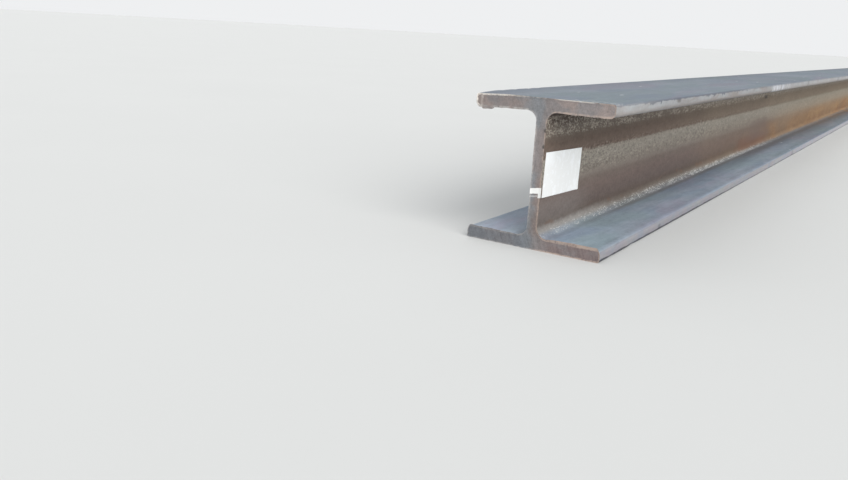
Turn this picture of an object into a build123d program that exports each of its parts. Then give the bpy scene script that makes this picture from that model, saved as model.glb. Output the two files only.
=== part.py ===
"""Hot rolled wide-flange steel beam, W4 x 13 (metric W100 x 19.3), in one 20 ft stock length.

The beam lies along X on its bottom flange. The origin is under the middle of its length, on the
plane that it rests on, and +Z is up. All lengths are in millimetres.
"""

import os

from build123d import *

# Rolled section
DEPTH = 106.0
FLANGE_WIDTH = 103.0
FLANGE_THICKNESS = 8.8
WEB_THICKNESS = 7.1
ROOT_RADIUS = 8.0
TOE_OUTER_RADIUS = 1.8
TOE_INNER_RADIUS = 3.0

# Stock length, sawn square at both ends
FOOT = 304.8
LENGTH = 20 * FOOT

# Blank label stuck by hand to one side of the web, close behind a sawn end
LABEL_LENGTH = 63.5
LABEL_HEIGHT = 31.75
LABEL_THICKNESS = 0.2
LABEL_CORNER_RADIUS = 1.0
LABEL_END_GAP = 4.5
LABEL_BELOW_MID_DEPTH = 1.1
LABEL_TILT = -1.8


def round_roots():
    """Fillet the four corners where the web runs into the flanges."""
    columns = section.vertices().group_by(Axis.X)
    fillet(columns[1] + columns[-2], ROOT_RADIUS)


def round_toes():
    """Round the flange tips: tighter on the outer faces, softer on the sides facing the web."""
    columns = section.vertices().group_by(Axis.X)
    rows = (columns[0] + columns[-1]).group_by(Axis.Y)
    fillet(rows[0] + rows[-1], TOE_OUTER_RADIUS)
    columns = section.vertices().group_by(Axis.X)
    rows = (columns[0] + columns[-1]).group_by(Axis.Y)
    fillet(rows[1] + rows[-2], TOE_INNER_RADIUS)


with BuildPart() as i_beam:
    with BuildSketch(Plane.YZ) as section:
        Rectangle(WEB_THICKNESS, DEPTH, align=(Align.CENTER, Align.MIN))
        Rectangle(FLANGE_WIDTH, FLANGE_THICKNESS, align=(Align.CENTER, Align.MIN))
        with Locations((0, DEPTH)):
            Rectangle(FLANGE_WIDTH, FLANGE_THICKNESS, align=(Align.CENTER, Align.MAX))
        round_roots()
        round_toes()
    extrude(amount=LENGTH / 2, both=True)

label_plane = Plane(
    origin=(
        -LENGTH / 2 + LABEL_END_GAP + LABEL_LENGTH / 2,
        -WEB_THICKNESS / 2,
        DEPTH / 2 - LABEL_BELOW_MID_DEPTH,
    ),
    x_dir=(1, 0, 0),
    z_dir=(0, -1, 0),
)

with BuildPart() as paper_label:
    with BuildSketch(label_plane):
        RectangleRounded(LABEL_LENGTH, LABEL_HEIGHT, LABEL_CORNER_RADIUS, rotation=LABEL_TILT)
    extrude(amount=LABEL_THICKNESS)

os.makedirs("parts", exist_ok=True)
i_beam.part.label = "i_beam"
export_step(i_beam.part, "parts/i_beam.step")
paper_label.part.label = "paper_label"
export_step(paper_label.part, "parts/paper_label.step")
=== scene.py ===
"""Looks of a hot rolled steel beam: mill scale, rust, sawn ends, a paint mark and a blank label.

The beam lies along X. Its labelled end is at low X and its labelled side faces -Y. Shapes are in
metres. Materials measure in millimetres from the middle of the labelled end's bottom edge.
"""

import math

import bpy
import numpy as np
from mathutils import Matrix, Vector, noise
from mathutils.geometry import delaunay_2d_cdt


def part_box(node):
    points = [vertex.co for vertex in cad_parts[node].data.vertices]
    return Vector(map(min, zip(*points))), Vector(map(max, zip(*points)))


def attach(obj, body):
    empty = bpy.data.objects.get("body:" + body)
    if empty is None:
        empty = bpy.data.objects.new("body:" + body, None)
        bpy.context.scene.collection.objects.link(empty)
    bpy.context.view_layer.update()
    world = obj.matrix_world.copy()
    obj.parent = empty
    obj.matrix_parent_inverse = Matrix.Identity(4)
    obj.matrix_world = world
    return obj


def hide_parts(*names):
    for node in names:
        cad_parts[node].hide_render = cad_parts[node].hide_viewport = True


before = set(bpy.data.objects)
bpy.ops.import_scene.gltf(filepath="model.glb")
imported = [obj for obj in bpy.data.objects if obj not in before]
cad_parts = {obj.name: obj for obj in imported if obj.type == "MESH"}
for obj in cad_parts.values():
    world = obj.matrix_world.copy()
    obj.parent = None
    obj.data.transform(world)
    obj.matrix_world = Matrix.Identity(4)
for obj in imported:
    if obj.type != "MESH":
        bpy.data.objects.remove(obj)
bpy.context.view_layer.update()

MM = 0.001

# The beam, from the frame, and its rolled section as in the part's source
beam_low, beam_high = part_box("i_beam")
LENGTH, WIDTH, DEPTH = beam_high - beam_low
NEAR_END = beam_low.x
FLANGE = 8.8 * MM
WEB = 7.1 * MM
ROOT_RADIUS = 8.0 * MM
TOE_OUTER_RADIUS = 1.8 * MM
TOE_INNER_RADIUS = 3.0 * MM

# Steps of the mesh round the section: close where it turns and where the flap hangs
WEB_STEP = 2.6 * MM
INNER_STEP = 4 * MM
FLAP_STEP = 1.2 * MM
TOE_STEP = 1.3 * MM
OUTER_STEP = 5 * MM
ROOT_SIDES = 8
TOE_INNER_SIDES = 5
TOE_OUTER_SIDES = 4

# Rows of the beam's mesh along its length: close at the ends, open between
END_STEP = 0.8 * MM
LONGEST_STEP = 40 * MM
NEAR_GROWTH = 1.018
FAR_GROWTH = 1.055

# Dents and wear on the toes and waves on the top: length, width, and depth in millimetres
DENT_LENGTH, DENT_WIDTH, DENT_DEPTH = 14 * MM, 3.5 * MM, 0.42
WEAR_LENGTH, WEAR_WIDTH, WEAR_DEPTH = 60 * MM, 30 * MM, 0.2
WAVE_LENGTH, WAVE_WIDTH, WAVE_DEPTH = 240 * MM, 45 * MM, 0.08
TOP_INSET = 0.09

# Sawn ends: the face lies a little behind the burr that the blade left round its edge
BURR_DEPTH = 0.5 * MM
BURR_FLARE = 1.3 * MM
BURR_REACH = 3.2 * MM
BURR_WAVE = 9 * MM
BURR_GRAIN = 2.2 * MM
RIM_WIDTH = 0.5 * MM
RIM_REACH = 3.0 * MM
SAW_RELIEF = 0.14 * MM
SAW_SCORE = 2.4 * MM
SAW_SCORE_LENGTH = 30 * MM
SAW_HOLLOW = 8 * MM
SAWN_SPACING = 1.5 * MM
MERGE_GAP = 1e-7
SHARP_ANGLE = math.radians(50)

# The layers of noise that shape the burrs of the two ends
NEAR_BURR, FAR_BURR = 20, 30

# A flap of burr that hangs under the far toe of the top flange
FLAP_START, FLAP_END = 35.5 * MM, 48.5 * MM
FLAP_DROP = 2.4 * MM
RIDGE_HEIGHT = 0.8 * MM

# The same corner of the top flange is bent down a little at its end
BEND_START = 22 * MM
BEND_REACH = 26 * MM
BEND_DROP = 1.1 * MM

# The label, as in the part's source
LABEL_LENGTH = 63.5 * MM
LABEL_HEIGHT = 31.75 * MM
LABEL_THICKNESS = 0.2 * MM
LABEL_END_GAP = 4.5 * MM
LABEL_BELOW_MID_DEPTH = 1.1 * MM
LABEL_TILT = math.radians(-1.8)
LABEL_STEP = 1.6 * MM
LABEL_SHARP_ANGLE = math.radians(40)
BUBBLE = 0.12 * MM
BUBBLES_ALONG, BUBBLES_UP = 7, 4
CORNER_LIFT = 2.0 * MM
CORNER_START = 0.86

# How the beam unrolls for baking: strips along its length (start, share of the map's height)
STRIPS = ((0.0, 0.38), (0.9, 0.22), (3.3, 0.22))
END_SHARE = 0.18
END_MARGIN, END_SPREAD = 0.02, 0.96
UV_MARGIN = 0.004


def straight(start, end, step):
    """Evenly spaced points from start to end, without the end."""
    start, end = np.array(start), np.array(end)
    count = max(1, round(float(np.linalg.norm(end - start)) / step))
    return [start + (end - start) * i / count for i in range(count)]


def arc(centre, radius, first, last, count):
    """Points on an arc between two angles in degrees, without its last point."""
    turns = [math.radians(first + (last - first) * i / count) for i in range(count)]
    return [np.array(centre) + radius * np.array((math.cos(t), math.sin(t))) for t in turns]


def quarter_section():
    """Points (y, z) down the +Y side of the web, round the toe and back to the middle."""
    half_web, half_width = WEB / 2, WIDTH / 2
    root = (half_web + ROOT_RADIUS, FLANGE + ROOT_RADIUS)
    inner = (half_width - TOE_INNER_RADIUS, FLANGE - TOE_INNER_RADIUS)
    outer = (half_width - TOE_OUTER_RADIUS, TOE_OUTER_RADIUS)
    points = straight((half_web, DEPTH / 2), (half_web, root[1]), WEB_STEP)
    points += arc(root, ROOT_RADIUS, 180, 270, ROOT_SIDES)
    points += straight((root[0], FLANGE), (FLAP_START, FLANGE), INNER_STEP)
    points += straight((FLAP_START, FLANGE), (inner[0], FLANGE), FLAP_STEP)
    points += arc(inner, TOE_INNER_RADIUS, 90, 0, TOE_INNER_SIDES)
    points += straight((half_width, inner[1]), (half_width, outer[1]), TOE_STEP)
    points += arc(outer, TOE_OUTER_RADIUS, 0, -90, TOE_OUTER_SIDES)
    points += straight((outer[0], 0), (0, 0), OUTER_STEP)
    return points


def whole_section():
    """The closed section, from the bottom's middle round by way of the labelled side."""
    quarter = quarter_section()
    lower_right = [(y, z) for y, z in quarter]
    lower_left = [(-y, z) for y, z in reversed(quarter)]
    upper_left = [(-y, DEPTH - z) for y, z in quarter[1:]]
    upper_right = [(y, DEPTH - z) for y, z in reversed(quarter[1:])]
    return np.array([(0, 0)] + lower_left + upper_left + [(0, DEPTH)] + upper_right + lower_right)


def outward_normals(ring):
    """The unit normal at each point of the section, away from the steel."""
    tangent = np.roll(ring, -1, axis=0) - np.roll(ring, 1, axis=0)
    tangent /= np.linalg.norm(tangent, axis=1)[:, None]
    return np.stack([-tangent[:, 1], tangent[:, 0]], axis=1)


def graded_rows():
    """Distances along the beam of the rows of its mesh."""
    near, far = [0.0], [0.0]
    for rows, growth in ((near, NEAR_GROWTH), (far, FAR_GROWTH)):
        step = END_STEP
        while step < LONGEST_STEP:
            rows.append(rows[-1] + step)
            step *= growth
    middle = LENGTH - far[-1] - near[-1]
    count = round(middle / LONGEST_STEP)
    between = [near[-1] + middle * i / count for i in range(1, count)]
    return np.array(near + between + [LENGTH - x for x in reversed(far)])


def rise(value, start, end):
    """0 before start, 1 beyond end and a smooth climb between."""
    t = np.clip((value - start) / (end - start), 0, 1)
    return t * t * (3 - 2 * t)


def wave(x, s, long, wide, layer):
    """Smooth noise from -1 to 1 over the unrolled surface, with waves of these lengths."""
    return noise.noise(Vector((x / long, s / wide, 7.3 * layer)))


def rolled_inset(along, ring, travel):
    """How far inside the true section each point lies: toes worn and dented, the top wavy."""
    toe = rise(np.abs(ring[:, 0]), WIDTH / 2 - 3 * MM, WIDTH / 2 - 0.8 * MM)
    top = rise(ring[:, 1], DEPTH - 1.0 * MM, DEPTH - 0.2 * MM)
    steps = np.gradient(along)
    inset = np.zeros((len(along), len(ring)))
    for r, x in enumerate(along):
        lengths = (DENT_LENGTH, WEAR_LENGTH)
        short, medium = (1 - rise(steps[r], long / 6, long / 3) for long in lengths)
        for i in np.flatnonzero(toe + top):
            s = travel[i]
            dent = short * rise(wave(x, s, DENT_LENGTH, DENT_WIDTH, 2), 0.1, 0.6)
            worn = medium * (0.5 + 0.5 * wave(x, s, WEAR_LENGTH, WEAR_WIDTH, 1))
            wavy = wave(x, s, WAVE_LENGTH, WAVE_WIDTH, 3)
            inset[r, i] += toe[i] * (DENT_DEPTH * dent + WEAR_DEPTH * worn) * MM
            inset[r, i] += top[i] * (TOP_INSET + WAVE_DEPTH * wavy) * MM
    return inset


def burr_height(travel, layer):
    """How much burr the saw left at each point round the section, up to 1."""
    rough = [
        0.5 + 0.4 * wave(0, s, 1, BURR_WAVE, layer) + 0.25 * wave(0, s, 1, BURR_GRAIN, layer + 1)
        for s in travel
    ]
    return np.clip(rough, 0.05, 1)


def may_flare(ring):
    """How far a burr may stand out: none on the outer faces, and less on the web."""
    inside = rise(WIDTH / 2 - np.abs(ring[:, 0]), 0.5 * MM, 3 * MM)
    inside *= rise(DEPTH - ring[:, 1], 1 * MM, 4 * MM) * rise(ring[:, 1], 1 * MM, 4 * MM)
    return inside * (0.5 + 0.5 * rise(np.abs(ring[:, 0]), WEB, 3 * WEB))


def ridge(ring):
    """The lip of burr on the bottom flange's upper side, on the labelled side, up to 1."""
    y, z = ring.T
    return rise(-y, 8 * MM, 24 * MM) * (z > FLANGE / 2) * (z < FLANGE + 0.1 * MM)


def flap(ring):
    """The flap of burr under the +Y toe of the top flange, up to 1."""
    y, z = ring.T
    across = rise(y, FLAP_START, FLAP_START + 3 * MM) * (1 - rise(y, FLAP_END - 3 * MM, FLAP_END))
    ragged = [0.85 + 0.3 * noise.noise(Vector((v / (4 * MM), 4.2, 0))) for v in y]
    return across * ragged * (np.abs(z - DEPTH + FLANGE) < 0.5 * MM)


def bend(ring, from_end):
    """The section at this distance from the labelled end, with its top +Y corner bent down."""
    corner = rise(ring[:, 0], BEND_START, WIDTH / 2) * (ring[:, 1] > DEPTH / 2)
    drop = BEND_DROP * corner * max(0.0, 1 - from_end / BEND_REACH) ** 2
    return ring - np.stack([np.zeros(len(ring)), drop], axis=1)


def swept_rows(ring, along, travel):
    """The points of every row, near end first, in one list of (x, y, z)."""
    normals = outward_normals(ring)
    inset = rolled_inset(along, ring, travel)
    points = []
    for row, x in enumerate(along):
        near = x < LENGTH / 2
        from_end = x if near else LENGTH - x
        curl = max(0.0, 1 - from_end / BURR_REACH) ** 2
        height = burr_height(travel, NEAR_BURR if near else FAR_BURR)
        flare = height * may_flare(ring) * BURR_FLARE
        if near:
            flare = np.maximum(flare, flap(ring) * FLAP_DROP)
            flare += ridge(ring) * may_flare(ring) * RIDGE_HEIGHT
        places = bend(ring, x) + normals * (flare * curl - inset[row] * (1 - 0.7 * curl))[:, None]
        back = (1 - height) * BURR_DEPTH * (from_end == 0) * (1 if near else -1)
        points += [(NEAR_END + x + b, y, z) for b, (y, z) in zip(back, places)]
    return points


def inside_outline(y, z, ring):
    """Whether a point lies inside a closed outline, by counting the sides that a ray crosses."""
    y0, z0 = ring.T
    y1, z1 = np.roll(ring, -1, axis=0).T
    spans = (z0 > z) != (z1 > z)
    crossing = y0 + (z - z0) * (y1 - y0) / np.where(z1 == z0, 1, z1 - z0)
    return np.count_nonzero(spans & (y < crossing)) % 2 == 1


def sawn_points(ring):
    """Points spread over the sawn face, clear of its rim."""
    inner = ring - outward_normals(ring) * (RIM_WIDTH + SAWN_SPACING * 0.6)
    across = np.arange(-WIDTH / 2, WIDTH / 2, SAWN_SPACING)
    y, z = np.meshgrid(across, np.arange(0, DEPTH, SAWN_SPACING))
    y[::2] += SAWN_SPACING / 2
    return [Vector((a, b)) for a, b in zip(y.ravel(), z.ravel()) if inside_outline(a, b, inner)]


def gap_to_outline(point, ring):
    """The distance from a point of the sawn face to its outline."""
    sides = np.roll(ring, -1, axis=0) - ring
    along = ((point - ring) * sides).sum(axis=1) / (sides ** 2).sum(axis=1)
    nearest = ring + np.clip(along, 0, 1)[:, None] * sides
    return float(np.linalg.norm(nearest - point, axis=1).min())


def rim_values(points, ring, sides):
    """1 at the sawn edges and less further off, down to 0 beyond the rim's reach."""
    near_outline = bend(ring, 0)
    gaps = []
    for number, (x, y, z) in enumerate(points):
        gap = min(x - NEAR_END, NEAR_END + LENGTH - x)
        if number >= sides:
            gap = gap_to_outline(np.array((y, z)), near_outline if x < 0 else ring)
        gaps.append(max(0.0, 1 - gap / RIM_REACH))
    return gaps


def saw_depth(y, z):
    """How deep the blade cut at a point of the sawn face, with its slanted scores."""
    slanted = (y * 0.92 + z * 0.38) / SAW_SCORE
    score = noise.noise(Vector((slanted, z / SAW_SCORE_LENGTH, 3.1)))
    hollow = noise.noise(Vector((y / SAW_HOLLOW, z / SAW_HOLLOW, 9.4)))
    return BURR_DEPTH + SAW_RELIEF * (0.6 * score + 0.4 * hollow)


def sawn_face(ring, end, inwards, outer, start):
    """The points and faces that close one end. Outer is the row's first index, start the next."""
    count = len(ring)
    rim = ring - outward_normals(ring) * RIM_WIDTH
    points = [(end + inwards * BURR_DEPTH, y, z) for y, z in rim]
    faces = []
    for i in range(count):
        n = (i + 1) % count
        faces.append((outer + i, outer + n, start + n, start + i))
    flat = [Vector(p) for p in rim] + sawn_points(ring)
    outline = [list(range(count))]
    keep_inside = 1
    places, _, triangles, sources, _, _ = delaunay_2d_cdt(flat, [], outline, keep_inside, MERGE_GAP)
    index = {}
    for n, (place, source) in enumerate(zip(places, sources)):
        if source and source[0] < count:
            index[n] = start + source[0]
        else:
            index[n] = start + len(points)
            points.append((end + inwards * saw_depth(*place), *place))
    faces += [tuple(index[n] for n in reversed(triangle)) for triangle in triangles]
    if inwards < 0:
        faces = [tuple(reversed(face)) for face in faces]
    return points, faces


def make_object(name, points, faces, *materials):
    """A mesh object with these materials."""
    mesh = bpy.data.meshes.new(name)
    mesh.from_pydata(points, [], faces)
    for material in materials:
        mesh.materials.append(material)
    obj = bpy.data.objects.new(name, mesh)
    bpy.context.collection.objects.link(obj)
    return obj


def unroll(mesh, sides, ring, along, travel):
    """Lays the beam's surface out flat in its own map, with more room for the labelled end."""
    count = len(ring)
    perimeter = travel[-1] + float(np.linalg.norm(ring[0] - ring[-1]))
    around = np.append(travel, perimeter) / perimeter
    bounds = [along[np.searchsorted(along, start)] for start, _ in STRIPS] + [LENGTH]
    shares = [share for _, share in STRIPS]
    uv = np.zeros((len(mesh.loops), 2))
    for face in mesh.polygons:
        if face.index < sides:
            row, i = divmod(face.index, count)
            strip = int(np.searchsorted(bounds, along[row], side="right")) - 1
            start, stop = bounds[strip:strip + 2]
            base = sum(shares[:strip])
            corners = ((row, i), (row + 1, i), (row + 1, i + 1), (row, i + 1))
            for loop, (r, s) in zip(face.loop_indices, corners):
                uv[loop] = (along[r] - start) / (stop - start), base + shares[strip] * around[s]
        else:
            column = END_SHARE * (face.center.x > 0)
            for loop, vertex in zip(face.loop_indices, face.vertices):
                place = mesh.vertices[vertex].co
                across = END_MARGIN + END_SPREAD * (place.y + WIDTH / 2) / DEPTH
                up = END_MARGIN + END_SPREAD * place.z / DEPTH
                uv[loop] = column + END_SHARE * across, 1 - END_SHARE + END_SHARE * up
    layer = mesh.uv_layers.new(name="OFBake")
    layer.data.foreach_set("uv", (UV_MARGIN + (1 - 2 * UV_MARGIN) * uv).ravel())


def make_beam(rolled, sawn):
    """The beam's whole skin: its rolled sides and both sawn ends with their burrs."""
    ring, along = whole_section(), graded_rows()
    travel = np.concatenate([[0], np.cumsum(np.linalg.norm(np.diff(ring, axis=0), axis=1))])
    count = len(ring)
    points = swept_rows(ring, along, travel)
    faces = []
    for row in range(len(along) - 1):
        for i in range(count):
            a, b = row * count + i, row * count + (i + 1) % count
            faces.append((a, a + count, b + count, b))
    sides, last_row = len(faces), len(points) - count
    ends = ((bend(ring, 0), NEAR_END, 1, 0), (ring, NEAR_END + LENGTH, -1, last_row))
    for section, end, inwards, outer in ends:
        more, closing = sawn_face(section, end, inwards, outer, len(points))
        points += more
        faces += closing
    beam = make_object("rolled_beam", points, faces, rolled, sawn)
    mesh = beam.data
    unroll(mesh, sides, ring, along, travel)
    rim = rim_values(points, ring, last_row + count)
    mesh.attributes.new("rim", "FLOAT", "POINT").data.foreach_set("value", rim)
    mesh.polygons.foreach_set("material_index", [0] * sides + [1] * (len(faces) - sides))
    mesh.shade_smooth()
    mesh.set_sharp_from_angle(angle=SHARP_ANGLE)
    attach(beam, "root")
    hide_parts("i_beam")


def label_points(columns, rows):
    """The label's back on the web, then its front with small bubbles and a corner come up."""
    middle_x = NEAR_END + LABEL_END_GAP + LABEL_LENGTH / 2
    middle = Vector((middle_x, -WEB / 2, DEPTH / 2 - LABEL_BELOW_MID_DEPTH))
    turn = Matrix.Rotation(-LABEL_TILT, 3, "Y")
    points = []
    for front in (False, True):
        for j in range(rows + 1):
            for i in range(columns + 1):
                u, v = i / columns - 0.5, j / rows - 0.5
                out = 0.0
                if front:
                    out = LABEL_THICKNESS + CORNER_LIFT * max(0, u - v - CORNER_START)
                    bubble = noise.noise(Vector((u * BUBBLES_ALONG, v * BUBBLES_UP, 2.5)))
                    out += BUBBLE * (0.5 + 0.5 * bubble)
                points.append(middle + turn @ Vector((u * LABEL_LENGTH, -out, v * LABEL_HEIGHT)))
    return points


def label_faces(columns, rows):
    """The label's back and front, and the edge that joins them."""
    width, sheet = columns + 1, (columns + 1) * (rows + 1)
    faces = []
    for j in range(rows):
        for i in range(columns):
            a = j * width + i
            b = a + width
            faces.append((a, b, b + 1, a + 1))
            faces.append((a + sheet, a + 1 + sheet, b + 1 + sheet, b + sheet))
    grid = np.arange(sheet).reshape(-1, width).tolist()
    right = [row[-1] for row in grid[:-1]]
    left = [row[0] for row in grid[:0:-1]]
    edge = grid[0][:-1] + right + grid[-1][:0:-1] + left
    for a, b in zip(edge, edge[1:] + edge[:1]):
        faces.append((a, b, b + sheet, a + sheet))
    return faces


def make_label(paper):
    """A thin sheet stuck on the web."""
    grid = round(LABEL_LENGTH / LABEL_STEP), round(LABEL_HEIGHT / LABEL_STEP)
    label = make_object("blank_label", label_points(*grid), label_faces(*grid), paper)
    label.data.shade_smooth()
    label.data.set_sharp_from_angle(angle=LABEL_SHARP_ANGLE)
    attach(label, "root")
    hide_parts("paper_label")


def srgb(red, green, blue):
    """A colour by its display values, 0 to 255, in the linear values that shaders use."""
    return tuple(((level / 255 + 0.055) / 1.055) ** 2.4 for level in (red, green, blue))


# How far apart, in millimetres, the layers of noise lie
LAYER_GAP = 37.0


class Graph:
    """Short calls for one material's nodes. A value is a number, a colour or another's output."""

    def __init__(self, name):
        self.material = bpy.data.materials.new(name)
        self.material.use_nodes = True
        self.tree = self.material.node_tree
        self.shader = self.tree.nodes["Principled BSDF"]
        coordinates = self.node("ShaderNodeTexCoord").outputs["Object"]
        self.place = self.move(coordinates, (1 / MM,) * 3, (-NEAR_END / MM, 0, 0))
        parts = self.node("ShaderNodeSeparateXYZ", {"Vector": self.place}).outputs
        self.x, self.y, self.z = parts["X"], parts["Y"], parts["Z"]

    def node(self, kind, inputs=(), **settings):
        """A new node with these settings, and its inputs by name, number or identifier."""
        made = self.tree.nodes.new(kind)
        for name, value in settings.items():
            setattr(made, name, value)
        for name, value in dict(inputs).items():
            sockets = {s.identifier: s for s in made.inputs}
            socket = sockets[name] if name in sockets else made.inputs[name]
            if isinstance(value, bpy.types.NodeSocket):
                self.tree.links.new(value, socket)
            elif socket.type == "RGBA":
                socket.default_value = (*value, 1)
            else:
                socket.default_value = value
        return made

    def move(self, place, scale, shift):
        """A place scaled and then shifted."""
        inputs = {0: place, 1: scale, 2: shift}
        return self.node("ShaderNodeVectorMath", inputs, operation="MULTIPLY_ADD").outputs["Vector"]

    def math(self, operation, first, second=0.0):
        """One operation on two values, or on the first alone."""
        made = self.node("ShaderNodeMath", {0: first, 1: second}, operation=operation)
        return made.outputs["Value"]

    def fold(self, operation, values):
        """One operation carried on through several values."""
        result = values[0]
        for value in values[1:]:
            result = self.math(operation, result, value)
        return result

    def times(self, *values):
        """The product of several values."""
        return self.fold("MULTIPLY", values)

    def plus(self, *values):
        """The sum of several values."""
        return self.fold("ADD", values)

    def most(self, *values):
        """The largest of several values."""
        return self.fold("MAXIMUM", values)

    def sway(self, amount, noise):
        """Noise about 0.5 turned into noise about 0, scaled by amount."""
        return self.times(amount, self.plus(noise, -0.5))

    def rise(self, value, start, end):
        """0 before start, 1 beyond end and a smooth climb between. Start may be above end."""
        inputs = {"Value": value, "From Min": start, "From Max": end}
        made = self.node("ShaderNodeMapRange", inputs, interpolation_type="SMOOTHSTEP")
        return made.outputs["Result"]

    def band(self, value, start, end, soft):
        """1 between start and end, and a fall to 0 over the width soft on both sides."""
        return self.times(self.rise(value, start - soft, start), self.rise(value, end + soft, end))

    def noise(self, size, stretch=(1, 1, 1), layer=0, detail=3, rough=0.55, twist=0, place=None):
        """Noise about 0.5 with blobs of this size in millimetres, longer where stretch is small."""
        inputs = {
            "Vector": self.move(place or self.place, stretch, (LAYER_GAP * layer,) * 3),
            "Scale": 1 / size,
            "Detail": detail,
            "Roughness": rough,
            "Distortion": twist,
        }
        return self.node("ShaderNodeTexNoise", inputs).outputs["Fac"]

    def long_patches(self, place):
        """1 over some lengths of the beam, 0 over others, with ragged changes."""
        patches = self.noise(420, (0.5, 1, 1), layer=31, detail=5, rough=0.6, place=place)
        return self.rise(patches, 0.5, 0.58)

    def cells(self, size, stretch=(1, 1, 1), layer=0):
        """Distance to the nearest of points scattered this far apart, about 0 to 1."""
        shifted = self.move(self.place, stretch, (LAYER_GAP * layer,) * 3)
        inputs = {"Vector": shifted, "Scale": 1 / size}
        return self.node("ShaderNodeTexVoronoi", inputs).outputs["Distance"]

    def mix(self, amount, first, second):
        """The first colour turning into the second as amount goes from 0 to 1."""
        inputs = {"Factor_Float": amount, "A_Color": first, "B_Color": second}
        made = self.node("ShaderNodeMix", inputs, data_type="RGBA")
        return next(s for s in made.outputs if s.identifier == "Result_Color")

    def blend(self, amount, first, second):
        """The same for two numbers."""
        inputs = {"Factor_Float": amount, "A_Float": first, "B_Float": second}
        return self.node("ShaderNodeMix", inputs, data_type="FLOAT").outputs[0]

    def shade(self, colour, factor):
        """A colour made lighter or darker by a factor."""
        inputs = {0: colour, 3: factor}
        return self.node("ShaderNodeVectorMath", inputs, operation="SCALE").outputs["Vector"]

    def ramp(self, value, span, stops):
        """The colour at a value from 0 to span, between (value, red, green, blue) stops."""
        made = self.node("ShaderNodeValToRGB", {"Fac": self.math("DIVIDE", value, span)})
        elements = made.color_ramp.elements
        while len(elements) < len(stops):
            elements.new(0.5)
        for element, (at, *colour) in zip(elements, stops):
            element.position = at / span
            element.color = (*srgb(*colour), 1)
        return made.outputs["Color"]

    def finish(self, colour, roughness, height, relief, gloss=0.5):
        """Joins the shader's inputs. Relief is how high the bump stands, in millimetres."""
        bump = self.node("ShaderNodeBump", {"Height": height, "Distance": relief * MM})
        feeds = {"Base Color": colour, "Roughness": roughness, "Normal": bump.outputs["Normal"]}
        feeds["Specular IOR Level"] = gloss
        for name, value in feeds.items():
            if isinstance(value, bpy.types.NodeSocket):
                self.tree.links.new(value, self.shader.inputs[name])
            else:
                self.shader.inputs[name].default_value = value
        return self.material


# Places of features, in millimetres: x from the labelled end, y from the web, z from the bottom
WEB_FOOT = (9.2, 13.0)
WEB_HEAD = (97.0, 95.5)
BETWEEN_FLANGES = (8, 98)
TOP_FACE = (90, 100)
UPPER_HALF = (50, 60)
BOTTOM_INSIDE = (5, 40)
END_FOOT = (13, 7)
RAMP_SPAN = 106
OTHER_SIDE = 1700
RAGGED = 900
SPECKLE_LINE = (9.6, 11.4)
GRAIN_BAND = (80.5, 92.0)
PITTED_BAND = (50.0, 63.5)
DARK_PATCH = (800, 850)
RED_PATCH = (700, 820)
RUBBED_PATCH = (524, 638)
TOE_STAINS = (
    # (x from, to), (z from, to), strength
    ((137, 143), (102.5, 106), 0.5),
    ((129, 131), (1.5, 4.5), 0.4),
    ((746, 754), (0.0, 7.0), 0.3),
    ((785, 791), (99, 106), 0.35),
    ((1120, 1140), (97, 106), 0.3),
)
WEB_SPOT = ((748, 760), (78, 81))
PAINT_TOP, PAINT_BOTTOM = 43.1, 39.5
PAINT_LINE = (37.2, 37.9)
PAINT_EDGES = (-4.6, 4.9)
PAINT_HOOK_BOTTOM = 36.4
NICKS = (73.0, 84.0)
BARE_FRONT = (-34.0, -12.0)
BARE_CORNER = (28.0, 37.0)
PAPER_CORNER = ((23, 14), (56, 63))

# Where the sawn end's rim shines peach: (y from, to), (z from, to)
PEACH_PLACES = (
    ((-6.0, -2.0), (14.0, 40.0)),
    ((-52.0, -8.0), (-1.0, 12.0)),
    ((-52.0, -47.0), (94.0, 107.0)),
)

# Colours
# The scale's blue-grey is partly its own colour and partly a painted reflection of the sky
SCALE_BLUE_WITH_SKY = srgb(118, 130, 144)
SCALE_PALE_WITH_SKY = srgb(134, 142, 153)
SCALE_TEAL = srgb(122, 135, 143)
SCALE_MAUVE = srgb(130, 132, 146)
# The next two darken the flanges by the web as painted shade; the first also lines the bottom toe's
# inner edge
SCALE_DARK_AND_SHADE = srgb(90, 98, 110)
PAINTED_FLANGE_SHADE = srgb(98, 94, 91)
SCALE_BROWN = srgb(112, 102, 92)
SPECK = srgb(206, 207, 204)
WEB_NEAR = (
    # z, red, green, blue
    (9.0, 104, 102, 99),
    (12.0, 116, 110, 104),
    (14.5, 100, 91, 84),
    (18.0, 88, 77, 71),
    (24.0, 94, 83, 79),
    (34.0, 103, 90, 85),
    (41.0, 106, 95, 89),
    (44.5, 119, 110, 103),
    (48.0, 123, 115, 107),
    (59.0, 139, 133, 124),
    (62.8, 143, 136, 126),
    (64.8, 107, 92, 83),
    (74.0, 98, 84, 75),
    (80.0, 104, 93, 84),
    (83.5, 113, 103, 94),
    (90.0, 84, 72, 65),
    (96.0, 64, 53, 49),
)
WEB_FAR = (
    (9.0, 132, 121, 106),
    (13.0, 138, 116, 93),
    (18.0, 122, 99, 79),
    (28.0, 131, 109, 87),
    (40.0, 138, 119, 99),
    (50.0, 148, 136, 120),
    (62.0, 148, 140, 126),
    (63.8, 138, 129, 114),
    (65.9, 129, 116, 101),
    (80.0, 129, 116, 101),
    (83.5, 146, 137, 126),
    (96.0, 122, 114, 103),
)
FOOT_GREY = srgb(146, 143, 140)
GRAIN = srgb(168, 159, 147)
FLECK = srgb(178, 172, 160)
RUST = srgb(156, 118, 78)
RUST_PALE = srgb(168, 135, 96)
PATCH_BROWN = srgb(106, 92, 86)
RUST_DARK = srgb(108, 84, 70)
RUST_RED = srgb(116, 82, 68)
TOE_PALE = srgb(158, 161, 164)
TOE_WARM = srgb(140, 134, 130)
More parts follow.
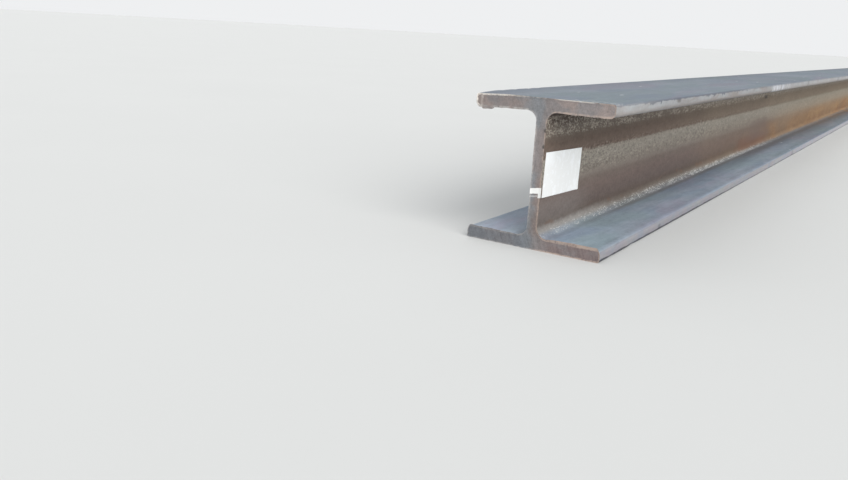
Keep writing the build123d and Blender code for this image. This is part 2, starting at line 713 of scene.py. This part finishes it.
TOE_COOL = srgb(149, 154, 165)
TOE_ROSY = srgb(164, 155, 161)
# Painted shade at the top toe's upper corner, and a painted contact shadow under the bottom toe
TOE_EDGE_SHADE = srgb(82, 87, 98)
TOE_CONTACT_SHADOW = srgb(48, 50, 58)
TOE_RUBBED = srgb(212, 214, 222)
STAIN = srgb(70, 66, 62)
SAWN_GREY = srgb(132, 127, 127)
SAWN_PINK = srgb(147, 135, 131)
SAWN_RED = srgb(114, 101, 101)
SAWN_BLUE = srgb(123, 128, 133)
# The cold grey below is darkened as painted shade
SAWN_COLD_SHADE = srgb(100, 106, 113)
SAWN_BROWN = srgb(132, 119, 114)
BARE = srgb(226, 219, 210)
GLINT_WHITE = srgb(242, 240, 237)
# Painted glints on the bare burr
BARE_TAN = srgb(178, 160, 149)
BARE_GREY = srgb(154, 152, 150)
PAINT = srgb(240, 240, 238)
PAPER = srgb(231, 232, 232)
PAPER_BRIGHT = srgb(240, 242, 244)

OXIDE_GLOSS = 0.3
# Painted light and shade: outer flange faces darker, inner ones lighter, for how the light falls on
# them
OUTER_PAINTED_SHADE, INNER_PAINTED_LIGHT = 0.7, 1.36
SCORE_ANGLE = math.radians(22)

# How high each material's bump stands, in millimetres
ROLLED_BUMP = 0.22
SAWN_BUMP = 0.2
PAPER_BUMP = 0.03
FLOOR_BUMP = 0.05


def paint_mask(g):
    """Where the painted stroke lies across the web's end, hooking down at its labelled side."""
    wobble = g.sway(0.7, g.noise(2.0, layer=61))
    level = g.plus(g.z, g.times(0.15, g.y), -0.72, wobble)
    stroke = g.band(level, PAINT_BOTTOM, PAINT_TOP, 0.35)
    line = g.times(0.3, g.band(level, *PAINT_LINE, 0.4))
    hook = g.times(g.band(level, PAINT_HOOK_BOTTOM, PAINT_TOP, 0.5), g.rise(g.y, -1.9, -2.4))
    worn = g.rise(g.noise(1.4, layer=62, detail=4), 0.22, 0.34)
    near = g.rise(g.x, 2.6, 1.6)
    across = g.band(g.plus(g.y, wobble), *PAINT_EDGES, 0.3)
    return g.times(g.most(stroke, line, hook), across, near, worn)


def rim_nearness(g):
    """1 at a sawn edge and 0 where it is 3 mm off."""
    return g.node("ShaderNodeAttribute", attribute_name="rim").outputs["Fac"]


def bare_rim(g, steel):
    """Bares the burr's edge over the steel's colour: whole in two places on top, else broken, with
    painted glints.
    """
    rim = g.rise(rim_nearness(g), 0.72, 0.86)
    patchy = g.rise(g.noise(2.6, layer=19, detail=4, rough=0.65), 0.36, 0.62)
    top_edge = g.rise(g.z, 103, 105)
    corner = g.times(g.rise(g.z, 100, 102), g.rise(g.y, *BARE_CORNER))
    front = g.times(top_edge, g.band(g.y, *BARE_FRONT, 4))
    colour = g.mix(g.rise(g.y, 4, -1), BARE, BARE_TAN)
    colour = g.mix(g.times(g.rise(g.z, 30, 12), g.rise(g.y, -2, 6)), colour, BARE_GREY)
    web_edge = g.times(g.band(g.z, 12, 94, 4), g.rise(g.y, 0, 2))
    amount = g.times(g.most(patchy, corner, front), g.blend(web_edge, 0.85, 0.2))
    dulled = g.times(g.rise(g.z, 102, 104), g.band(g.y, -4, 27, 4))
    amount = g.times(amount, g.blend(dulled, 1.0, 0.45))
    underside = g.times(g.rise(g.y, 1, 6), g.band(g.z, 94, 99, 2))
    colour = g.mix(g.times(0.8, underside), colour, BARE_GREY)
    # Painted glints on the bare burr along the top edge
    sparkle = g.rise(g.noise(2.2, layer=35, rough=0.6), 0.52, 0.62)
    colour = g.mix(g.times(0.9, front), colour, BARE)
    colour = g.mix(g.times(sparkle, top_edge), colour, GLINT_WHITE)
    return g.mix(g.times(rim, amount), steel, colour)


def nick_shade(g):
    """Painted shade of two nicks in the web's edge on the labelled side of the near end."""
    aside = g.math("POWER", g.math("ABSOLUTE", g.plus(g.y, 3.4)), 2)
    nearest = g.math("MINIMUM", *(g.math("ABSOLUTE", g.plus(g.z, -z)) for z in NICKS))
    gap = g.math("SQRT", g.plus(aside, g.math("POWER", nearest, 2)))
    return g.times(0.75, g.rise(gap, 1.8, 0.7), g.rise(g.x, 3, 1.5))


def flange_tone(g, reach, flake, streak, grit):
    """How light the flanges' scale is: mottled, and duller along some stretches."""
    clump = g.noise(7, (0.4, 1, 1), layer=26, detail=2)
    mottled = g.plus(0.34, g.times(0.36, flake), g.times(0.22, streak), g.times(0.44, grit))
    dull_stretch = g.times(-0.08, g.band(g.x, 620, 840, 120))
    dull_top = g.plus(g.times(-0.12, g.rise(g.y, 18, 42)), dull_stretch)
    dull_top = g.times(dull_top, g.rise(g.z, *TOP_FACE))
    outer = g.times(-0.09, g.rise(reach, 40, 46), g.band(g.z, *BOTTOM_INSIDE, 1))
    return g.plus(mottled, g.times(0.3, clump), dull_top, outer)


def flange_scale(g, reach, flake, streak):
    """Mill scale whose blue is partly painted sky, with painted shade by the web, browner further
    along.
    """
    cloud = g.noise(38, (0.25, 1, 1), layer=2, detail=5, twist=0.6)
    colour = g.mix(g.rise(cloud, 0.36, 0.66), SCALE_BLUE_WITH_SKY, SCALE_PALE_WITH_SKY)
    hue = g.noise(70, (0.3, 1, 1), layer=21, detail=4, twist=0.8)
    colour = g.mix(g.rise(hue, 0.5, 0.64), colour, SCALE_TEAL)
    colour = g.mix(g.rise(hue, 0.5, 0.38), colour, SCALE_MAUVE)
    grit = g.noise(2.6, (0.7, 1, 1), layer=22, detail=4, rough=0.7)
    tone = flange_tone(g, reach, flake, streak, grit)
    colour = g.shade(colour, tone)
    between = g.band(g.z, *BETWEEN_FLANGES, 1)
    # Painted light: inner faces lighter, a little more at the labelled end; outer faces darker
    inner_painted_light = g.blend(g.rise(g.x, 100, 30), INNER_PAINTED_LIGHT, 1.07 * INNER_PAINTED_LIGHT)
    colour = g.shade(colour, g.blend(between, OUTER_PAINTED_SHADE, inner_painted_light))
    # Painted shade on the flanges beside the web's root, fading out towards the labelled end
    root = g.times(g.rise(reach, 40, 12), between, g.blend(g.rise(g.x, 40, 350), 0.0, 0.62))
    colour = g.mix(root, colour, g.shade(SCALE_DARK_AND_SHADE, tone))
    # Painted shade over the fillet's foot, along the web's root and, further along, wider over the
    # flange
    foot = g.times(g.rise(reach, 17, 10), g.blend(g.rise(g.x, 50, 180), 0.3, 0.7))
    root_shade = g.times(0.6, g.rise(g.x, 450, 700), g.rise(reach, 28, 14))
    wider_shade = g.times(0.38, g.rise(g.x, 640, 1050), g.rise(reach, 70, 25))
    colour = g.mix(g.times(g.most(foot, root_shade, wider_shade), between), colour, g.shade(PAINTED_FLANGE_SHADE, tone))
    far_patches = g.times(g.rise(g.x, 1900, 2600), g.long_patches(g.place))
    dulled = g.times(0.35, far_patches, g.rise(hue, 0.42, 0.6))
    colour = g.mix(dulled, colour, g.shade(SCALE_BROWN, tone))
    dust = g.times(0.25, g.rise(g.x, 26, 4), g.rise(g.y, -5, -25), g.rise(g.z, *TOP_FACE))
    colour = g.mix(g.times(dust, g.rise(grit, 0.45, 0.6)), colour, BARE)
    onward = g.rise(g.plus(g.x, g.times(RAGGED, cloud)), 1300, 2600)
    tan = g.mix(g.rise(flake, 0.4, 0.65), SCALE_BROWN, RUST)
    colour = g.mix(g.times(0.8, onward, g.rise(reach, 44, 8), between), colour, tan)
    corner = g.times(g.band(reach, 49.2, 50.2, 0.6), g.band(g.z, *BOTTOM_INSIDE, 1))
    corner = g.times(corner, g.blend(g.rise(g.x, 300, 750), 0.25, 0.5))
    colour = g.mix(corner, colour, SCALE_DARK_AND_SHADE)
    specks = g.rise(g.cells(26, (0.45, 1.3, 1), layer=5), 0.075, 0.045)
    return g.mix(g.times(0.6, specks), colour, SPECK)


def toe_tone(g, on_top):
    """How light the toes are: lighter further along, darker low down."""
    further = g.times(g.blend(on_top, 0.2, 0.13), g.rise(g.x, 350, 1000))
    near_top = g.times(0.22, on_top, g.rise(g.x, 130, 20))
    near_bottom = g.times(g.rise(g.z, 50, 40), g.rise(g.x, 450, 250))
    near_bottom = g.times(near_bottom, g.blend(g.rise(g.x, 150, 80), -0.05, -0.01))
    low_bottom = g.times(-0.05, g.rise(g.z, 6.5, 3.5))
    high_bottom = g.times(-0.13, g.band(g.z, 7.2, 12, 2.5), g.rise(g.x, 200, 600))
    low_top = g.times(-0.13, on_top, g.rise(g.z, 100.2, 98.6), g.band(g.x, 220, 600, 60))
    return g.plus(0.82, further, near_top, near_bottom, low_bottom, high_bottom, low_top)


def toe_marks(g, colour, cloud, on_top):
    """Adds a patch that is rubbed bright, and stains, to the toes' colour."""
    streaks = g.noise(8, (1, 1, 0.1), layer=34, detail=4, rough=0.7)
    rubbed = g.band(g.plus(g.x, g.sway(16, cloud)), *RUBBED_PATCH, 7)
    rubbed = g.times(on_top, rubbed, g.blend(g.rise(g.x, 575, 610), 0.6, 0.35))
    colour = g.mix(g.times(rubbed, g.rise(streaks, 0.42, 0.62)), colour, TOE_RUBBED)
    for along, up, amount in TOE_STAINS:
        stain = g.band(g.plus(g.x, g.sway(8, cloud)), *along, 4)
        colour = g.mix(g.times(amount, stain, g.band(g.z, *up, 1.5)), colour, STAIN)
    return colour


def toe_scale(g):
    """The flanges' edges: pale, rubbed, stained, painted shade along their outer rounded corners.
    """
    cloud = g.noise(16, (0.3, 1, 1), layer=6, detail=5, rough=0.65, twist=0.8)
    on_top = g.rise(g.z, *UPPER_HALF)
    warm_clouds = g.times(g.blend(g.band(g.x, 180, 460, 60), 0.55, 0.9), g.rise(cloud, 0.38, 0.62))
    colour = g.mix(g.times(warm_clouds, on_top), TOE_PALE, TOE_WARM)
    warm_foot = g.times(g.blend(g.band(g.x, 220, 450, 60), 0.7, 0.95), g.rise(g.z, 102, 99))
    colour = g.mix(g.times(warm_foot, on_top), colour, TOE_WARM)
    grit = g.noise(2.4, (0.7, 1, 0.5), layer=7, detail=5)
    colour = g.shade(colour, g.plus(0.8, g.times(0.4, grit)))
    colour = g.mix(g.blend(on_top, g.rise(cloud, 0.62, 0.38), 0.0), colour, TOE_COOL)
    rosy = g.rise(g.noise(9, (0.4, 1, 0.5), layer=33, detail=4, rough=0.6), 0.38, 0.6)
    colour = g.mix(g.times(g.blend(on_top, 0.55, 0.15), rosy), colour, TOE_ROSY)
    colour = toe_marks(g, g.shade(colour, toe_tone(g, on_top)), cloud, on_top)
    wavy = g.plus(g.z, g.sway(2.2, g.noise(5, (0.5, 1, 0.2), layer=9, detail=4)))
    notches = g.rise(g.noise(3.4, (0.7, 1, 0.12), layer=10), 0.5, 0.78)
    notches = g.times(2.6, notches, g.band(g.x, 60, 380, 40))
    # Painted shade in a ragged band along the top toe's upper rounded corner
    edge_shade = g.rise(g.plus(wavy, notches), 104.0, 104.7)
    edge_shade = g.times(edge_shade, g.blend(g.band(g.x, 110, 340, 70), 0.5, 0.9))
    colour = g.mix(edge_shade, colour, TOE_EDGE_SHADE)
    # Painted contact shadow along the bottom toe's lower corner, wider at the labelled end
    foot = g.rise(g.plus(wavy, g.times(0.9, g.rise(g.x, 220, 450))), 2.7, 1.8)
    return g.mix(g.times(0.9, foot), colour, TOE_CONTACT_SHADOW)


def web_bands(g, place, level, changed, clump):
    """The web's mottled brown bands, which change further along."""
    colour = g.mix(changed, g.ramp(level, RAMP_SPAN, WEB_NEAR), g.ramp(level, RAMP_SPAN, WEB_FAR))
    foot = g.times(0.8, g.rise(g.x, 180, 50), g.rise(level, 19.5, 12.5))
    greyed = g.times(0.2, g.rise(g.x, 110, 50), g.rise(level, 40, 30))
    colour = g.mix(g.most(foot, greyed), colour, FOOT_GREY)
    drift = g.noise(46, (0.2, 1, 1), layer=13, detail=5, rough=0.6, place=place)
    grit = g.noise(2.2, (0.7, 1, 1), layer=23, detail=4, rough=0.72)
    lifted = g.times(0.12, g.band(g.x, 270, 700, 70), g.rise(level, 77, 80))
    tone = g.plus(0.36, g.times(0.34, drift), g.times(0.64, grit), g.times(0.3, clump), lifted)
    return g.shade(colour, tone)


def web_grain(g, colour, level, clump, onward):
    """Adds pale grains high up and pits under them. Also says how they stand out."""
    further = g.rise(g.x, 80, 450)
    near_grain = g.noise(1.2, (0.5, 1, 0.9), layer=14, detail=2, rough=0.7)
    grain = g.blend(further, near_grain, g.noise(2.3, (0.36, 1, 1), layer=27, rough=0.7))
    grain_band = g.band(level, *GRAIN_BAND, 3)
    grained = g.rise(g.plus(grain, g.sway(0.35, clump)), 0.46, 0.63)
    grains = g.times(g.blend(further, 0.75, 0.95), grain_band, grained, g.blend(onward, 1.0, 0.45))
    colour = g.mix(grains, colour, GRAIN)
    near_pit = g.noise(1.6, (0.5, 1, 1.1), layer=15, rough=0.7)
    pit = g.blend(further, near_pit, g.noise(2.1, (0.4, 1, 1), layer=28, rough=0.7))
    pit_band = g.times(g.band(level, *PITTED_BAND, 7), g.blend(g.rise(g.x, 200, 650), 1.0, 0.4))
    colour = g.mix(g.times(0.75, pit_band, g.rise(pit, 0.5, 0.36)), colour, g.shade(colour, 0.5))
    colour = g.mix(g.times(0.5, pit_band, g.rise(pit, 0.54, 0.68)), colour, FLECK)
    return colour, g.plus(g.times(0.8, grain_band, grain), g.times(0.9, pit_band, pit))


def web_rust(g, colour, place, level, fine, returning):
    """Adds streaked rust low down, and red, dark and stained patches."""
    cloud = g.noise(120, (0.45, 1, 1), layer=16, detail=5, rough=0.6, twist=0.7, place=place)
    beyond = g.rise(g.plus(g.x, g.times(500, cloud)), 650, 1260)
    amount = g.times(g.blend(g.rise(g.x, 1200, 1600), 0.67, 0.9), g.blend(returning, 1.0, 0.3))
    rust = g.times(amount, g.band(g.z, 14, 30, 18), beyond, g.rise(cloud, 0.26, 0.66))
    mottled = g.noise(17, (0.16, 1, 1), layer=32, detail=5, rough=0.6, twist=0.5)
    deep = g.mix(g.rise(mottled, 0.42, 0.62), RUST, RUST_PALE)
    uneven = g.blend(g.rise(g.x, 2300, 2800), 0.3, 0.75)
    deep = g.mix(g.times(uneven, g.rise(mottled, 0.52, 0.36)), deep, RUST_DARK)
    deep = g.shade(deep, g.blend(g.rise(g.x, 1150, 1450), 0.9, 1.0))
    colour = g.mix(rust, colour, g.mix(g.times(0.7, g.rise(fine, 0.45, 0.6)), deep, RUST_DARK))
    spots = g.rise(g.noise(11, (0.5, 1, 1), layer=17, detail=4), 0.56, 0.66)
    colour = g.mix(g.times(0.4, spots, g.band(g.z, 16, 20, 2.5)), colour, RUST_DARK)
    reddened = g.band(g.plus(g.x, g.times(120, cloud)), *RED_PATCH, 60)
    colour = g.mix(g.times(0.5, reddened, g.band(g.z, 15, 24, 9)), colour, RUST_RED)
    along, up = WEB_SPOT
    spot = g.times(g.band(g.x, *along, 6), g.band(g.z, *up, 1.5))
    colour = g.mix(g.times(0.8, spot), colour, STAIN)
    darkened = g.band(g.plus(g.x, g.times(160, cloud)), *DARK_PATCH, 100)
    darkened = g.times(0.6, darkened, g.band(level, 26, 44, 10))
    return g.mix(darkened, colour, PATCH_BROWN)


def web_scale(g, fine, clump):
    """The web's colour and height. Its large patterns differ on its two sides."""
    place = g.move(g.rise(g.y, -1, 1), (OTHER_SIDE, 0, 0), g.place)
    wander = g.noise(24, (0.3, 1, 0), layer=11, detail=4, place=place)
    frayed = g.noise(1.8, (0.5, 1, 1), layer=24, rough=0.7)
    level = g.plus(g.z, g.sway(2.4, wander), g.sway(3.2, frayed))
    lean = g.noise(260, (1, 1, 0.6), layer=12, place=place)
    ragged_x = g.plus(g.x, g.times(RAGGED, lean))
    onward = g.rise(ragged_x, 650, 1800)
    sooner = g.rise(ragged_x, 450, 1400)
    returning = g.times(0.8, g.rise(g.x, 2300, 2800), g.long_patches(place))
    changed = g.blend(returning, g.blend(g.rise(level, 62, 68), onward, sooner), 0.1)
    colour = web_bands(g, place, level, changed, clump)
    colour, height = web_grain(g, colour, level, clump, onward)
    colour = web_rust(g, colour, place, level, fine, returning)
    return colour, g.plus(height, g.times(0.35, fine))


def speckles(g, reach, clump):
    """Where pale specks lie along the bottom flange's root, fewer of them further along."""
    climb = g.plus(g.z, g.math("MINIMUM", g.plus(8.0, g.times(-1, reach)), 0.0))
    thick = g.times(g.band(climb, *SPECKLE_LINE, 3.4), g.blend(g.rise(g.x, 0, 60), 0.75, 1.0))
    thick = g.times(thick, g.rise(g.x, 1050, 650))
    dots = g.noise(0.9, (0.5, 1, 1), layer=18, rough=0.65)
    bias = g.times(thick, g.blend(g.rise(g.x, 150, 320), 0.125, 0.165))
    dots = g.plus(dots, g.sway(0.3, clump), bias)
    return g.times(0.85, g.rise(thick, 0, 0.2), g.rise(dots, 0.68, 0.76))


def rolled_steel():
    """The beam's rolled faces, with the bare burr and the paint at the labelled end."""
    g = Graph("rolled_steel")
    reach = g.math("ABSOLUTE", g.y)
    fine = g.noise(1.1, layer=1, detail=4, rough=0.65)
    clump = g.noise(5, (0.45, 1, 1), layer=25, detail=2)
    flake = g.noise(9, (0.45, 1, 1), layer=3, detail=5, rough=0.6)
    streak = g.noise(3.2, (0.03, 1, 1), layer=4)
    under_top = g.band(g.z, 90, 101.5, 1.5)
    toe = g.rise(g.plus(reach, g.times(1.5, under_top)), 50.2, 51.4)
    on_web = g.times(g.rise(g.z, *WEB_FOOT), g.rise(g.z, *WEB_HEAD))
    web, web_height = web_scale(g, fine, clump)
    colour = g.mix(on_web, flange_scale(g, reach, flake, streak), web)
    colour = g.mix(speckles(g, reach, clump), colour, SPECK)
    colour = g.mix(toe, colour, toe_scale(g))
    colour = bare_rim(g, g.shade(colour, g.plus(0.9, g.times(0.2, fine))))
    paint = paint_mask(g)
    colour = g.mix(paint, colour, PAINT)
    roughness = g.blend(on_web, g.plus(0.52, g.times(0.28, flake)), 0.85)
    roughness = g.blend(g.most(toe, paint), roughness, 0.58)
    flange_height = g.plus(g.times(0.5, flake), g.times(0.25, fine), g.times(0.15, streak))
    height = g.blend(on_web, flange_height, web_height)
    return g.finish(colour, roughness, height, ROLLED_BUMP, OXIDE_GLOSS)


def tarnish(g, patch, mottle):
    """Old tarnish: grey and pink, blue to brown by the web; at the foot red, and cold painted shade
    at +Y.
    """
    colour = g.mix(g.rise(patch, 0.38, 0.62), SAWN_GREY, SAWN_PINK)
    middle = g.rise(g.math("ABSOLUTE", g.y), 20, 4)
    across = g.rise(g.plus(g.y, g.times(14, patch)), 10, 4)
    browned = g.times(across, g.blend(g.band(g.z, 14, 48, 8), 0.55, 1.0))
    greyed = g.mix(g.band(g.z, 58, 82, 6), SAWN_BLUE, SAWN_GREY)
    colour = g.mix(g.times(0.8, middle), colour, g.mix(browned, greyed, SAWN_BROWN))
    foot = g.rise(g.z, *END_FOOT)
    leaning = g.plus(g.y, g.sway(16, patch))
    low = g.times(foot, g.rise(leaning, -2, -20))
    reddened = g.rise(g.plus(patch, g.times(0.3, mottle)), 0.5, 0.72)
    colour = g.mix(g.times(0.75, low, reddened), colour, SAWN_RED)
    colour = g.mix(g.times(0.4, low), colour, SAWN_RED)
    # Cold grey at the foot's +Y side, darkened as painted shade
    colour = g.mix(g.times(0.75, foot, g.rise(leaning, -10, 14)), colour, SAWN_COLD_SHADE)
    top_tone = g.blend(g.band(g.y, -14, 14, 5), 0.93, 1.03)
    top_middle = g.times(g.rise(g.z, 90, 96), g.rise(g.y, -34, -6))
    return g.shade(colour, g.blend(top_middle, 1.08, top_tone))


def sawn_edges(g, colour, mottle):
    """Adds a lumpy edge: bare at the top +Y corner and peach in other places."""
    lumps = g.rise(g.noise(1.7, layer=46, rough=0.65), 0.36, 0.54)
    heavy = g.times(0.06, g.rise(g.z, 98, 104), g.rise(g.y, 28, 42))
    wobble = g.plus(rim_nearness(g), g.sway(0.3, mottle), heavy)
    edge = g.times(g.rise(wobble, 0.58, 0.74), lumps)
    toe_side = g.times(g.rise(g.y, 45, 49), g.rise(g.z, 94, 97))
    corner = g.most(g.times(g.rise(g.z, 100.5, 102.5), g.rise(g.y, 8, 30)), toe_side)
    colour = g.mix(g.times(0.85, corner, edge), colour, BARE)
    strip = g.times(corner, g.band(g.plus(g.y, g.times(4, mottle)), 48.6, 49.4, 0.9))
    colour = g.mix(g.times(0.3, strip), colour, BARE)
    for across, up in PEACH_PLACES:
        place = g.times(g.band(g.y, *across, 2), g.band(g.z, *up, 2))
        colour = g.mix(g.times(0.6, place, edge), colour, BARE_TAN)
    return colour


def sawn_steel():
    """The beam's sawn ends: tarnished, scored aslant by the blade, with a bare rim and paint."""
    g = Graph("sawn_steel")
    patch = g.noise(14, (1, 1, 1.4), layer=41, detail=4, twist=0.5)
    mottle = g.noise(2.2, (1, 1, 0.8), layer=42, detail=5, rough=0.75)
    fine = g.noise(0.9, layer=43, detail=4, rough=0.7)
    grit = g.noise(1.1, layer=45, detail=2, rough=0.7)
    turn = {"Vector": g.place, "Angle": SCORE_ANGLE}
    slanted = g.node("ShaderNodeVectorRotate", turn, rotation_type="X_AXIS").outputs["Vector"]
    scores = g.noise(2.3, (1, 1, 0.08), layer=44, place=slanted)
    scored = g.sway(g.blend(g.rise(g.z, *END_FOOT), 0.24, 0.7), scores)
    tone = g.plus(0.24, g.times(0.84, mottle), scored, g.times(0.6, grit))
    colour = sawn_edges(g, g.shade(tarnish(g, patch, mottle), tone), mottle)
    colour = bare_rim(g, g.shade(colour, g.blend(g.band(g.z, 15, 24, 5), 1.0, 0.86)))
    # Painted shade of the nicks in the web's edge, in the stain's colour
    colour = g.mix(nick_shade(g), colour, STAIN)
    paint = paint_mask(g)
    colour = g.mix(paint, colour, PAINT)
    height = g.plus(g.times(0.5, scores), g.times(0.4, mottle), g.times(0.3, fine))
    height = g.plus(height, g.times(0.5, paint))
    return g.finish(colour, g.plus(0.5, g.times(0.3, mottle)), height, SAWN_BUMP, OXIDE_GLOSS)


def label_paper():
    """Coated white paper: small bright blisters, a bright corner, a little grime and fibres."""
    g = Graph("label_paper")
    blister = g.rise(g.noise(4, layer=54), 0.5, 0.64)
    along, up = PAPER_CORNER
    corner = g.times(g.rise(g.x, *along), g.rise(g.z, *up))
    fibre = g.noise(0.7, (0.5, 1, 1), layer=52, detail=4)
    grime = g.rise(g.noise(2.2, layer=53, detail=5), 0.66, 0.8)
    shade = g.plus(0.97, g.times(0.05, fibre), g.times(-0.12, grime))
    bright = g.most(g.times(0.75, blister), g.times(0.8, corner))
    colour = g.shade(g.mix(bright, PAPER, PAPER_BRIGHT), shade)
    return g.finish(colour, g.plus(0.5, g.times(0.15, blister)), fibre, PAPER_BUMP)


# The floor, background and lights
FLOOR_SIZE = 120
FLOOR_COLOUR = (0.66, 0.66, 0.65)
FLOOR_ROUGHNESS = 0.85
SKY_LIGHT = (0.93, 0.97, 1.0)
SKY_STRENGTH = 0.56
BACKGROUND = (0.86, 0.87, 0.88)
SUNS = (
    # direction that the light comes from, strength, degrees across, colour
    ((-0.62, -1.0, 0.72), 2.75, 55, (1.0, 0.985, 0.96)),
    ((0.5, 1.0, 0.9), 0.8, 90, (0.96, 0.98, 1.0)),
)


def make_floor():
    """A plain pale floor, level with the beam's lowest face."""
    half = FLOOR_SIZE / 2
    corners = [(-half, -half, 0), (half, -half, 0), (half, half, 0), (-half, half, 0)]
    g = Graph("floor")
    dust = g.noise(300, detail=6, rough=0.6)
    colour = g.shade(FLOOR_COLOUR, g.plus(0.98, g.times(0.04, dust)))
    material = g.finish(colour, FLOOR_ROUGHNESS, dust, FLOOR_BUMP)
    floor = make_object("floor", corners, [(0, 1, 2, 3)], material)


def make_world():
    """Soft light from all round, and a plain background for the camera and reflections."""
    world = bpy.data.worlds.new("studio")
    world.use_nodes = True
    bpy.context.scene.world = world
    tree = world.node_tree
    light = tree.nodes["Background"]
    light.inputs["Color"].default_value = (*SKY_LIGHT, 1)
    light.inputs["Strength"].default_value = SKY_STRENGTH
    seen = tree.nodes.new("ShaderNodeBackground")
    seen.inputs["Color"].default_value = (*BACKGROUND, 1)
    path = tree.nodes.new("ShaderNodeLightPath")
    either = tree.nodes.new("ShaderNodeMath")
    either.operation = "MAXIMUM"
    link = tree.links.new
    link(path.outputs["Is Camera Ray"], either.inputs[0])
    link(path.outputs["Is Glossy Ray"], either.inputs[1])
    mix = tree.nodes.new("ShaderNodeMixShader")
    link(either.outputs[0], mix.inputs["Fac"])
    link(light.outputs[0], mix.inputs[1])
    link(seen.outputs[0], mix.inputs[2])
    link(mix.outputs[0], tree.nodes["World Output"].inputs["Surface"])


def make_lights():
    """Two wide soft suns, the brighter one from the labelled end's side."""
    for number, (source, strength, angle, colour) in enumerate(SUNS):
        sun = bpy.data.lights.new(f"sun_{number}", "SUN")
        sun.energy = strength
        sun.angle = math.radians(angle)
        sun.color = colour
        lamp = bpy.data.objects.new(sun.name, sun)
        lamp.rotation_euler = Vector(source).to_track_quat("Z", "Y").to_euler()
        bpy.context.collection.objects.link(lamp)


# The camera, solved from the beam's edges in the photo
CAMERA_PLACE = (NEAR_END - 0.4972, -0.2292, 0.1451)
CAMERA_HEADING = 32.607
CAMERA_DIP = 14.733
CAMERA_ROLL = 3.226
CAMERA_LENS = 33.736
CAMERA_SENSOR = 36
NEAREST_SEEN = 0.01


def make_camera():
    """The camera at the photo's viewing angle."""
    data = bpy.data.cameras.new("camera")
    data.sensor_width = CAMERA_SENSOR
    data.lens = CAMERA_LENS
    data.clip_start = NEAREST_SEEN
    camera = bpy.data.objects.new("camera", data)
    heading = Matrix.Rotation(math.radians(CAMERA_HEADING - 90), 4, "Z")
    dip = Matrix.Rotation(math.radians(90 - CAMERA_DIP), 4, "X")
    roll = Matrix.Rotation(math.radians(CAMERA_ROLL), 4, "Z")
    camera.matrix_world = Matrix.Translation(CAMERA_PLACE) @ heading @ dip @ roll
    bpy.context.collection.objects.link(camera)
    bpy.context.scene.camera = camera


make_beam(rolled_steel(), sawn_steel())
make_label(label_paper())
make_floor()
make_world()
make_lights()
make_camera()
bpy.context.scene.view_settings.view_transform = "Standard"
